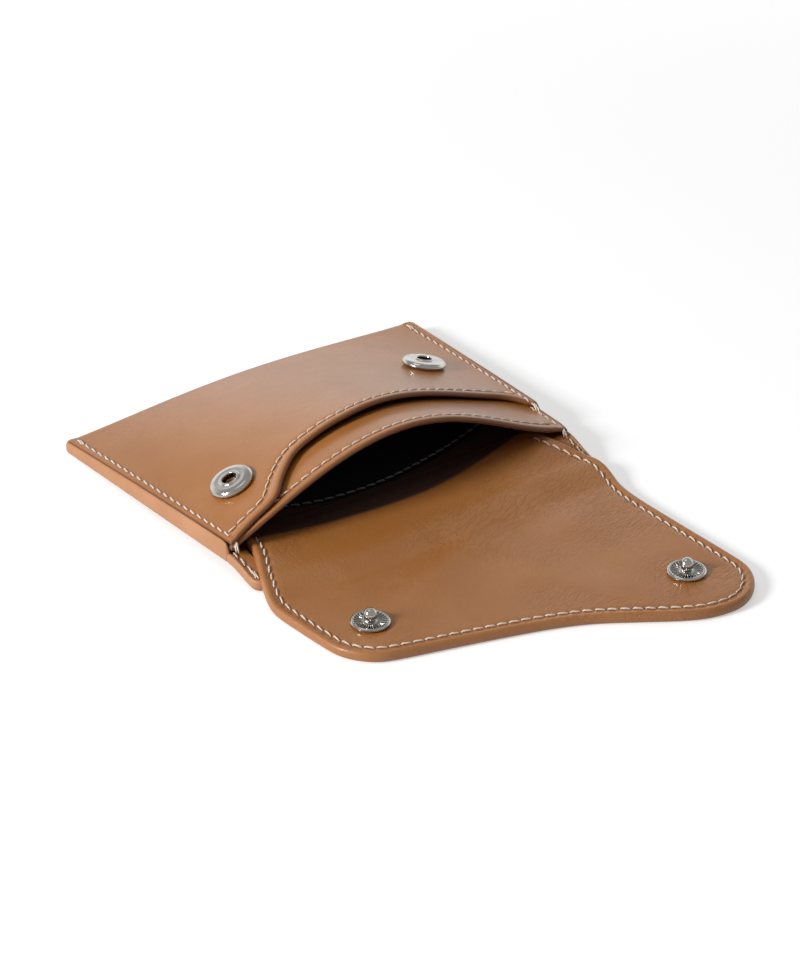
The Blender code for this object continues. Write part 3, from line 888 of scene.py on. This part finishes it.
pocket_cotton = (behind_inner, lining_inset, lining_start, facing_start - air)
made = lining_sheet("pocket_cotton", *pocket_cotton, 41, 14)
width, length, area = cloth_cut(*pocket_cotton)
cotton_parts = pressed_halves(made, black_cotton, "pocket_lining")
made = lining_sheet("lip_strip", behind_inner, 0.004, facing_start, facing_end, 41, 14)
pressed_halves(made, calf("facing_calf", crease=0.2), "lip_facing")

# The back. The same outer leather lies flat on the table and runs 12 mm past the pockets' lips.
# The side seams go through it, so their stitches show on its outer face too. Black cotton lines
# its inner face, with a seam across where the flap's facing is sewn down.

back_corner = 0.003
back_start = 0.0015


def fit(piece, finish, body):
    """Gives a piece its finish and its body."""
    piece.data.materials.append(finish)
    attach(piece, body)


def back_face(x, run):
    u = x / half_width(np.minimum(run, back_end))
    return placed(x, run, back_under(u, run))


def corner_cut(distance, radius):
    """How far a rounded corner draws in, at a distance from its end."""
    short = np.clip(radius - distance, 0, radius)
    return radius - np.sqrt(radius**2 - short**2)


def back_half(run):
    return sheet_half(run) - corner_cut(back_end - run, back_corner)


back_seams = [side_line(side, seam_end, back_end - 0.002) for side in (-1, 1)]
back_shape = (back_face, back_half, back_start, level_lip(back_end))
back = pouch_sheet("back", *back_shape, leather_thickness, back_seams, 60, 0.0, under=True)
fit(back, calf("back_calf", crease=0.3, crease_turn=1.2), "wallet_body")
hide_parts("back_panel")
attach(sew("back_thread", back_face, back_seams, -0.00012, cream_thread, under=True), "wallet_body")


def on_back(x, run):
    face, normal = facing(back_face, x, run)
    return face + normal * (leather_thickness + air / 2)


cotton_cut = (on_back, lining_inset, lining_start, pocket_depth + 0.003)
back_cotton = lining_sheet("back_cotton", *cotton_cut, 41, 20, middle=lining_thickness / 2)
fit(back_cotton, black_cotton, "wallet_body")
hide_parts("back_lining")
width, length, area = cloth_cut(*cotton_cut)

facing_half = 0.042
facing_line = (
    (-facing_half, 0.053),
    (-0.0231, 0.0603),
    (-0.0136, 0.0627),
    (0.0018, 0.0632),
    (0.0179, 0.0606),
    (0.036, 0.0561),
    (facing_half, 0.054),
)
across = np.linspace(-facing_half, facing_half, 120)
facing_seam = [np.stack([across, through(facing_line, across)], axis=-1)]
facing_gap = 0.0024
facing_thickness = 0.0009
root_start = 0.066
root_shown = root_start + 0.006
columns, rows = 81, 24
share = ease(np.linspace(0, 1, rows))[:, None]
x = np.linspace(-1, 1, columns)[None, :] * mix(0.0430, 0.0455, share)
start = through(facing_line, np.clip(x, -facing_half, facing_half)) + facing_gap
run = mix(start, root_shown, share)
points, normal = facing(on_back, x.reshape(-1), run.reshape(-1))
edge = np.minimum((run - run[:1]).reshape(-1), (np.abs(x[:, -1:]) - np.abs(x)).reshape(-1))
half_here = rim_half(edge, facing_thickness, 0.0005)[:, None]
middle = lining_thickness + 0.0005
# Painted shade: the flap's facing lies in the mouth's shadow and is coloured dark brown all over
inside = np.ones(len(points))
flap_facing = plain_sheet("flap_facing", columns, rows, points, normal, middle, half_here, inside=inside)
facing_shade_finish = calf("flap_facing_shade", crease=0.2, painted=0.0, faced=1.0)
fit(flap_facing, facing_shade_finish, "wallet_body")
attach(sew("facing_thread", on_back, facing_seam, lining_thickness + 0.0001, pale_thread), "wallet_body")

# The painted edges. All the layers of a side seam are glued, trimmed and sealed with a rounded
# coat of flesh-coloured paint. It wraps the ends of the two strips beside the flap.


paint_thickness = 0.0013


def sealed_edge(name, path, low, high, side):
    """A rounded band along a path: it stands from the low to the high line, and its outer face
    lies on the path."""
    around = 20
    out = across_way(path) * side
    turns = np.linspace(0, 2 * pi, around, endpoint=False)
    wide = np.sign(np.cos(turns)) * np.abs(np.cos(turns)) ** 0.9
    tall = np.sign(np.sin(turns)) * np.abs(np.sin(turns)) ** 0.8
    length = lengths_along(path)
    left = np.minimum(length, length[-1] - length)
    close = np.sqrt(np.clip(1 - (1 - np.clip(left / paint_thickness, 0, 1)) ** 2, 0, 1))
    middle = path - out * (paint_thickness / 2)
    points = []
    for row in range(len(path)):
        reach = paint_thickness / 2 * close[row]
        rise = (high[row] - low[row]) / 2 * (0.25 + 0.75 * close[row]) * (close[row] > 0)
        height = (high[row] + low[row]) / 2 + tall * rise
        flat = middle[row] + out[row] * (wide * reach)[:, None]
        ring = placed(*flat.T, height)
        points += [ring, ring[:1]]
    bpy.ops.mesh.primitive_grid_add(x_subdivisions=around, y_subdivisions=len(path) - 1, size=1)
    made = bpy.context.object
    made.data.vertices.foreach_set("co", np.concatenate(points).reshape(-1))
    shape(weld)
    bpy.ops.object.shade_smooth()
    fit(named(made, name), sealed, "wallet_body")


def edge_finish(name):
    """Edge paint: thick, matt and even, with a few low spots."""
    paint = Finish(name, IOR=1.45)
    spots = paint.noise(paint.place(), 260.0, 2.0)
    cloud = paint.noise(paint.place(), 60.0, 2.0)
    thin, full = (0.46, 0.215, 0.098, 1), (0.54, 0.262, 0.128, 1)
    paint.paint("Base Color", paint.blend(cloud.above(0.3, 0.7), thin, full))
    paint.paint("Roughness", 0.40 + spots * 0.15)
    paint.relief(spots * 0.00006)
    return paint.material


sealed = edge_finish("sealed_edge")
corner_round = 0.0022
lip_ramp = 0.0022
mouth_drop = 0.0004
mouth_ramp = 0.004
for word, side in (("left", -1), ("right", 1)):
    lip_here = float(front_lip(np.array(side * 1.0)))
    round_the_corner = corner_round * (1 - np.cos(np.linspace(0, pi / 2, 10)[:-1]))
    depth = np.concatenate([round_the_corner, np.linspace(corner_round, pocket_depth - 0.0002, 130)])
    path = np.stack([side * (half_width(depth) - corner_cut(depth, corner_round)), depth], axis=-1)
    u = np.full(len(depth), float(side))
    low = back_under(u, depth)
    high = front_top(u, depth) + 0.00004
    high = high - (leather_thickness + air) * ease((depth - lip_here + lip_ramp) / lip_ramp)
    high = high - mouth_drop * ease((depth - pocket_depth + mouth_ramp) / mouth_ramp)
    sealed_edge("pouch_edge_" + word, path, low, high, side)

# The flap. Two skins of the calf over a thin board, sewn all round 3 mm from the painted edge. Its
# root is sewn on the back inside the mouth. The front edge runs from a short left corner to a long
# right one, and the leather shows long fine creases there.

flap_half_width = 0.0545
left_corner = 0.009
right_corner = 0.0145
root_corner = 0.007
skin = 0.001
board = 0.0006
flap_thick = 2 * skin + board
flap_inset = 0.0029
landing = 0.0123
lining_ramp = 0.0087
root_thick = 0.0008
root_ramp = 0.008
board_inset = 0.0047
board_ramp = 0.011
flap_left_shares = (
    (-0.30, -0.850),
    (-0.16, -0.860),
    (-0.04, -0.926),
    (0.12, -1.007),
    (0.30, -0.998),
    (0.56, -0.960),
    (1.00, -0.940),
)
flap_right_shares = (
    (-0.30, 0.850),
    (-0.16, 0.865),
    (-0.04, 0.936),
    (0.05, 0.972),
    (0.23, 0.938),
    (0.50, 0.956),
    (0.80, 0.985),
    (1.00, 0.985),
)
flap_edge_shares = (
    (-1.00, 0.562),
    (-0.76, 0.612),
    (-0.52, 0.655),
    (-0.28, 0.700),
    (-0.07, 0.744),
    (0.11, 0.796),
    (0.29, 0.872),
    (0.48, 0.954),
    (0.60, 0.991),
    (0.74, 1.003),
    (1.00, 0.994),
)


def flap_side(shares, depth):
    return flap_half_width * through(shares, (depth - back_end) / flap_reach)


def flap_tip(u):
    half = flap_half_width * (flap_right_shares[-1][1] - flap_left_shares[-1][1]) / 2
    edge = back_end + flap_reach * through(flap_edge_shares, u)
    return edge - corner_cut((1 + u) * half, left_corner) - corner_cut((1 - u) * half, right_corner)


def smoothed(ring, times):
    for _ in range(times):
        ring = (np.roll(ring, 1, 0) + 2 * ring + np.roll(ring, -1, 0)) / 4
    return ring


def flap_outline(count):
    """The flap's cut line, from the root's middle round by the left side."""
    swing = -np.cos(np.linspace(0, pi, 400))
    tip = flap_tip(swing)
    front = mix(flap_side(flap_left_shares, tip), flap_side(flap_right_shares, tip), (swing + 1) / 2)
    front = np.stack([front, tip], axis=-1)
    root = -np.cos(np.linspace(0, pi, 200))
    root_half = flap_half_width * 0.85
    root_depth = root_start + corner_cut((1 + root) * root_half, root_corner)
    root_depth = root_depth + corner_cut((1 - root) * root_half, root_corner)
    end = np.stack([root * root_half, root_depth], axis=-1)
    down = np.linspace(root_depth[0], tip[0], 200)[1:-1]
    up = np.linspace(tip[-1], root_depth[-1], 200)[1:-1]
    left = np.stack([flap_side(flap_left_shares, down), down], axis=-1)
    right = np.stack([flap_side(flap_right_shares, up), up], axis=-1)
    line = np.concatenate([end[:100][::-1], left, front, right, end[100:][::-1], end[99:100]])
    runs = lengths_along(line)
    even = np.linspace(0, runs[-1], count, endpoint=False)
    line = np.stack([np.interp(even, runs, line[:, 0]), np.interp(even, runs, line[:, 1])], axis=-1)
    return smoothed(line, 6)


def flap_under(x, depth):
    on_back = np.minimum(depth, back_end)
    u = np.clip(x / half_width(on_back), -1, 1)
    lining = (lining_thickness + air) * ease((back_end - on_back) / lining_ramp)
    level = back_under(u, on_back) + leather_thickness + air + lining
    return mix(level, 0, ease((depth - back_end) / landing))


def flap_thickness(depth):
    at_root = mix(root_thick, 2 * skin + air, ease((depth - root_start) / root_ramp))
    return mix(at_root, flap_thick, ease((depth - back_end + board_inset) / board_ramp))


def flap_base(x, depth):
    return placed(x, depth, flap_under(x, depth))


def flap_face(x, depth):
    return placed(x, depth, flap_under(x, depth) + flap_thickness(depth))


rim_count = 520
flap_steps = edge_steps[:-3]
outline = flap_outline(rim_count)
tangent = np.roll(outline, -2, 0) - np.roll(outline, 2, 0)
tangent /= np.linalg.norm(tangent, axis=1, keepdims=True)
inward = np.stack([tangent[:, 1], -tangent[:, 0]], axis=-1)
rings = [smoothed(outline + inward * step, int(step * 5000)) for step in flap_steps]

# The rings come first, and a grid fills the last of them
bpy.ops.mesh.primitive_circle_add(vertices=rim_count, radius=1, fill_type="NOTHING")
flap = bpy.context.object
shape(*[bpy.ops.mesh.extrude_region_move] * (len(rings) - 1))
flat = np.concatenate(rings)
flap.data.vertices.foreach_set("co", np.column_stack([flat, np.zeros(len(flat))]).reshape(-1))
bpy.ops.object.mode_set(mode="EDIT")
bpy.ops.mesh.fill_grid(span=rim_count // 4, offset=rim_count // 8)
bpy.ops.mesh.select_all(action="DESELECT")
bpy.ops.object.mode_set(mode="OBJECT")
for vert in flap.data.vertices:
    vert.select = vert.index >= rim_count * (len(rings) - 1)
bpy.ops.object.mode_set(mode="EDIT")
bpy.ops.mesh.select_mode(type="VERT")
bpy.ops.mesh.vertices_smooth(factor=0.5, repeat=40)
bpy.ops.object.mode_set(mode="OBJECT")
flat = np.array([vert.co[:2] for vert in flap.data.vertices])
edge, _ = nearest(flat, np.concatenate([outline, outline[:1]]))
edge[:rim_count] = 0
whole_seam = outline + inward * flap_inset
on_show = whole_seam[whole_seam[:, 1] > root_shown]
gap, along = nearest(flat, on_show)
snap_places = {"left": (-0.0396, 0.0308), "right": (0.0386, 0.0571)}
thick = flap_thickness(flat[:, 1])
rim_round, rim_power = 0.00075, 2.4
inside = np.clip(edge / rim_round, 0, 1)
half_here = thick / 2 * (1 - (1 - inside) ** rim_power) ** (1 / rim_power)
roll = 0.00016 * hump(edge, 0.0007, 0.0011) * (half_here * 2 / thick)
open_share = ease((edge - 0.005) / 0.02) * ease((flat[:, 1] - back_end) / 0.02)
waves = np.sin(flat[:, 0] * 210 + flat[:, 1] * 95) * np.sin(flat[:, 1] * 170 - flat[:, 0] * 60)
near_root = hump(flat[:, 1], 0.014, 0.104)
waves = open_share * (0.00010 * waves + 0.00016 * near_root * np.sin(flat[:, 0] * 155 + flat[:, 1] * 260))
dents = np.zeros(len(flat))
for x, reach in snap_places.values():
    apart = np.hypot(flat[:, 0] - x, flat[:, 1] - back_end - reach)
    dents += 0.00018 * hump(apart, 0.0075)
base, normal = facing(flap_base, flat[:, 0], flat[:, 1])
middle = thick / 2
top = base + normal * (middle + half_here + roll - sewn_dip(gap) + waves - dents)[:, None]
under = base + normal * (middle - half_here + sewn_dip(gap, depth=0.00015))[:, None]
under[:, 2] = np.maximum(under[:, 2], 0.00002)
under[:rim_count] = top[:rim_count]
right_x, right_reach = snap_places["right"]
apart = np.stack([flat[:, 0] - right_x, flat[:, 1] - back_end - right_reach], axis=-1)
snap_turn = np.arctan2(apart[:, 0], apart[:, 1])
from_snap = np.hypot(*apart.T)
snap_near = ease((0.017 - from_snap) / 0.008) * ease((1.5 - np.abs(snap_turn)) / 0.5)
shadow_line = (
    (-0.045, 0.0735),
    (-0.030, 0.0752),
    (-0.018, 0.0766),
    (-0.0065, 0.0776),
    (0.0076, 0.0774),
    (0.026, 0.0735),
    (0.037, 0.0695),
    (0.048, 0.0660),
)
# Painted shade: inside the shadow line, the flap's root under the mouth is coloured dark brown
inside = ease((through(shadow_line, flat[:, 0]) - flat[:, 1]) / 0.0016 + 0.5)
more = {"snap_turn": snap_turn, "snap_near": snap_near, "inside": inside}
set_values(flap.data, seam_gap=gap, seam_run=along, rim=1 - np.clip(edge / 0.0007, 0, 1), **more)
flap_lower = own_copy(flap)
flap.data.vertices.foreach_set("co", top.reshape(-1))
flap_lower.data.vertices.foreach_set("co", under.reshape(-1))
flap = closed_sheet("flap", flap, flap_lower)
flap_creases_and_shade = {"crease": 1.0, "crease_turn": 0.33, "grain": 1.5, "rays": 1.0, "faced": 1.0}
flap.data.materials.append(calf("flap_calf", painted=0.55, rim_colour=edge_paint, **flap_creases_and_shade))
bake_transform(flap)
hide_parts("flap_outer", "flap_inner", "flap_board", "flap_root_outer", "flap_root_inner")
upper_thread = sew("flap_thread_inner", flap_face, [on_show], thread_rise, cream_thread)
clear = on_show[on_show[:, 1] > back_end + 0.002]
under_thread = sew("flap_thread_outer", flap_base, [clear], -0.00032, cream_thread, under=True)
for made in (upper_thread, under_thread):
    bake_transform(made)

# The strips beside the flap. The pouch's side seams run on past the lips as two narrow strips of
# doubled calf with round painted ends, and the flap's root rises between them.

strip_rise = 0.0028


def strip_face(x, run):
    return placed(x, run, back_under(x / half_width(run), run) + strip_rise)


def strip_sides(run, shares):
    """How far out from the middle a strip's inner and outer side are."""
    outer = half_width(run) - corner_cut(strip_end - run, strip_round)
    return np.minimum(np.abs(flap_side(shares, run)) + air, half_width(run) - strip_width), outer


strip_start = pocket_depth - seam_stop
strip_end = back_end + 0.0010
strip_round = 0.0031
strip_width = 0.0060
strip_rim = 0.0008
strip_seam_stop = 0.0022
pad = strip_rise - leather_thickness
for word, side, shares in (("left", -1, flap_left_shares), ("right", 1, flap_right_shares)):
    round_start = strip_end - strip_round
    bend = round_start + strip_round * np.sin(np.linspace(0, pi / 2, 14)[1:])
    run = np.concatenate([np.linspace(strip_start, round_start, 40), bend])
    inner_x, outer_x = strip_sides(run, shares)
    inward = np.linspace(outer_x[-1], inner_x[-1], 8)[1:]
    run = np.concatenate([run, np.full(len(inward), strip_end)])
    path = np.stack([side * np.concatenate([outer_x, inward]), run], axis=-1)
    low = np.maximum(back_under(path[:, 0] / half_width(run), run) - 0.00002, 0.00002)
    sealed_edge("strip_edge_" + word, path, low, low + strip_rise + 0.00006, side)

    run = np.linspace(strip_start, strip_end - strip_rim, 60)
    inner_x, outer_x = (reach[:, None] for reach in strip_sides(run, shares))
    closer = (1 - np.cos(np.linspace(0, pi, 26))) / 2
    x = side * mix(inner_x, outer_x - strip_rim, closer[None, :])
    flat = np.stack(np.broadcast_arrays(x, run[:, None]), axis=-1)
    seam = np.stack([side * (half_width(run) - side_inset + 0.0004), run], axis=-1)
    seam = seam[run < strip_end - strip_seam_stop]
    made = sewn_sheet("strip_" + word, strip_face, flat, pad, [seam], 0.0006, 0.0005, dip=0.0002)
    fit(made, front_finish, "wallet_body")
    tacks = back_tacks((seam[-1], (0, -1)))
    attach(sew("strip_thread_" + word, strip_face, [seam], thread_rise, cream_thread), "wallet_body")
    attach(sew("strip_tack_" + word, strip_face, tacks, 0.00016, cream_thread), "wallet_body")


def over_step(name, upper, lower, side, at):
    """Stitches that climb down from one layer's lip to the layer below."""

    def step_face(x, run):
        above, below = upper(x, np.minimum(run, at)), lower(x, run)
        share = ease((run - at + 0.0004) / 0.0012)
        return placed(x, run, mix(above[..., 2], below[..., 2], share))

    x = side * (half_width(at) - side_inset)
    lines = back_tacks(((x, at - 0.0014), (0, 1)))
    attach(sew(name, step_face, lines, 0.0002, cream_thread), "wallet_body")


over_step("step_tack_left", front_face, strip_face, -1, pocket_depth)
over_step("step_tack_right", inner_face, strip_face, 1, pocket_depth)
over_step("lip_tack_right", front_face, inner_face, 1, right_lip)

# The snap sockets. Each is a pressed ring of nickel-plated brass with a raised collar round its
# hole. Two limbs of spring wire cross the hole's sides, and a tube rivet holds the ring through
# the leather.

socket_radius = 0.006
socket_top = 0.0021
socket_bore = 0.002


def turned_profile(name, profile, steps):
    """A profile of radius and height, spun round the upright axis into a closed shape."""
    bpy.ops.mesh.primitive_circle_add(vertices=len(profile), radius=1, fill_type="NOTHING")
    made = bpy.context.object
    for vert, (radius, height) in zip(made.data.vertices, profile):
        vert.co = (radius, 0, height)
    shape(lambda: bpy.ops.mesh.spin(steps=steps, angle=2 * pi, center=(0, 0, 0), axis=(0, 0, 1)))
    shape(lambda: weld(1e-6))
    bpy.ops.object.shade_smooth_by_angle(angle=radians(38))
    return named(made, name)


def rounded(corners, radius, count=4):
    """A profile with its corners rounded off."""
    corners = np.array(corners, float)
    smooth = []
    for index, corner in enumerate(corners):
        before = corners[index - 1] - corner
        after = corners[(index + 1) % len(corners)] - corner
        reach = min(radius, 0.45 * np.linalg.norm(before), 0.45 * np.linalg.norm(after))
        first = corner + before / np.linalg.norm(before) * reach
        last = corner + after / np.linalg.norm(after) * reach
        for share in np.linspace(0, 1, count):
            smooth.append((1 - share) ** 2 * first + 2 * share * (1 - share) * corner + share**2 * last)
    return smooth


def nickel_finish(name, colour, roughness):
    """Bright nickel plate, with fine rubbing marks and a slightly cloudy shine."""
    plate = Finish(name, Metallic=1.0)
    cloud = plate.noise(plate.place(), 420.0, 3.0)
    marks = plate.noise(plate.place(0.6, 9.0), 2200.0, 2.0)
    dull = tuple(0.72 * part for part in colour[:3]) + (1,)
    plated = plate.blend(cloud.above(0.45, 0.75) * 0.6, colour, dull)
    # Where this value is set, in the studs' flutes, the plate is coloured almost black
    plate.paint("Base Color", plate.blend(plate.attribute("tarnish"), plated, (0.025, 0.024, 0.022, 1)))
    plate.paint("Roughness", roughness + cloud * 0.10 + marks.above(0.55, 0.7) * 0.08)
    plate.relief(marks * 0.000004 + cloud * 0.00001)
    return plate.material


nickel = nickel_finish("nickel_plate", (0.53, 0.51, 0.475, 1), 0.11)
dark_steel = nickel_finish("spring_wire", (0.42, 0.40, 0.38, 1), 0.24)


def on_front(x, run):
    return Vector(placed(x, run, front_top(x / half_width(run), run)))


ring = rounded(
    [
        (socket_bore, socket_top + 0.0002),
        (socket_bore + 0.0006, socket_top + 0.0002),
        (socket_bore + 0.0009, socket_top - 0.00012),
        (socket_bore + 0.0022, socket_top - 0.00004),
        (socket_radius - 0.0006, socket_top - 0.00022),
        (socket_radius, socket_top - 0.0009),
        (socket_radius, air + 0.0004),
        (socket_radius - 0.0004, air),
        (socket_radius - 0.0013, air),
        (socket_radius - 0.0013, socket_top - 0.0004),
        (socket_bore, socket_top - 0.0004),
    ],
    0.00028,
)
for side, (snap_x, reach) in snap_places.items():
    depth = back_end - reach
    here = on_front(snap_x, depth)
    across = on_front(snap_x + air, depth) - here
    along = here - on_front(snap_x, depth + air)
    normal = across.cross(along).normalized()
    turn = Matrix.Translation(here) @ Vector((0, 0, 1)).rotation_difference(normal).to_matrix().to_4x4()
    made = turned_profile("socket_ring_" + side, ring, 96)
    made.data.transform(turn)
    fit(made, nickel, "socket_" + side + "_body")
    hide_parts("socket_" + side)
    for node, finish in (("socket_spring_", dark_steel), ("socket_rivet_", nickel)):
        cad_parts[node + side].material_slots[0].material = finish

# The snap studs. Each is a fluted dish of nickel-plated brass with a ball-headed post, riveted to
# the flap's inner skin by a peg from below.

stud_radius = 0.0050
post_radius = 0.0013
post_height = 0.0042
ball_radius = 0.0018
flutes = 28
flute_start = 0.0018
flute_end = 0.0043
flute_depth = 0.00036
ball_end = pi - acos(sqrt(ball_radius**2 - post_radius**2) / ball_radius)
ball = [
    (ball_radius * np.sin(turn), post_height - ball_radius + ball_radius * np.cos(turn))
    for turn in np.linspace(0, ball_end, 14)
]
rim_top = air + 0.0006
profile = ball + [
    (post_radius, rim_top + 0.0001),
    (post_radius + 0.0001, rim_top - 0.0002),
    (post_radius + 0.0003, rim_top - 0.0003),
    (0.0020, rim_top - 0.00028),
    (0.0026, rim_top - 0.00022),
    (0.0032, rim_top - 0.00014),
    (0.0038, rim_top - 0.00005),
    (0.0041, rim_top),
    (0.00425, rim_top + 0.0001),
    (0.0046, rim_top + 0.0001),
    (0.00485, rim_top - 0.00004),
    (stud_radius, rim_top - 0.0002),
    (stud_radius, air + 0.0001),
    (stud_radius - 0.0002, air - 0.0001),
    (0.0, air - 0.0001),
]
for side, (snap_x, reach) in snap_places.items():
    made = turned_profile("stud_dish_" + side, profile, 8 * flutes)
    # The flutes' hollows are coloured almost black
    tarnish = np.zeros(len(made.data.vertices))
    for vert in made.data.vertices:
        radius = sqrt(vert.co.x**2 + vert.co.y**2)
        if air + 0.0001 < vert.co.z < rim_top + 0.00005:
            deep = float(ease((radius - flute_start) / 0.0008) * ease((flute_end - radius) / 0.0003))
            angle = np.arctan2(vert.co.y, vert.co.x)
            slot = deep * (0.5 + 0.5 * np.cos(flutes * angle)) ** 1.5
            vert.co.z -= flute_depth * slot
            tarnish[vert.index] = min(1.6 * slot, 1)
    set_values(made.data, tarnish=tarnish)
    made.data.transform(Matrix.Translation((snap_x, fold_y - back_end - reach, flap_thick)))
    fit(made, nickel, "flap")
    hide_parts("stud_" + side)
    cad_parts["stud_peg_" + side].material_slots[0].material = nickel
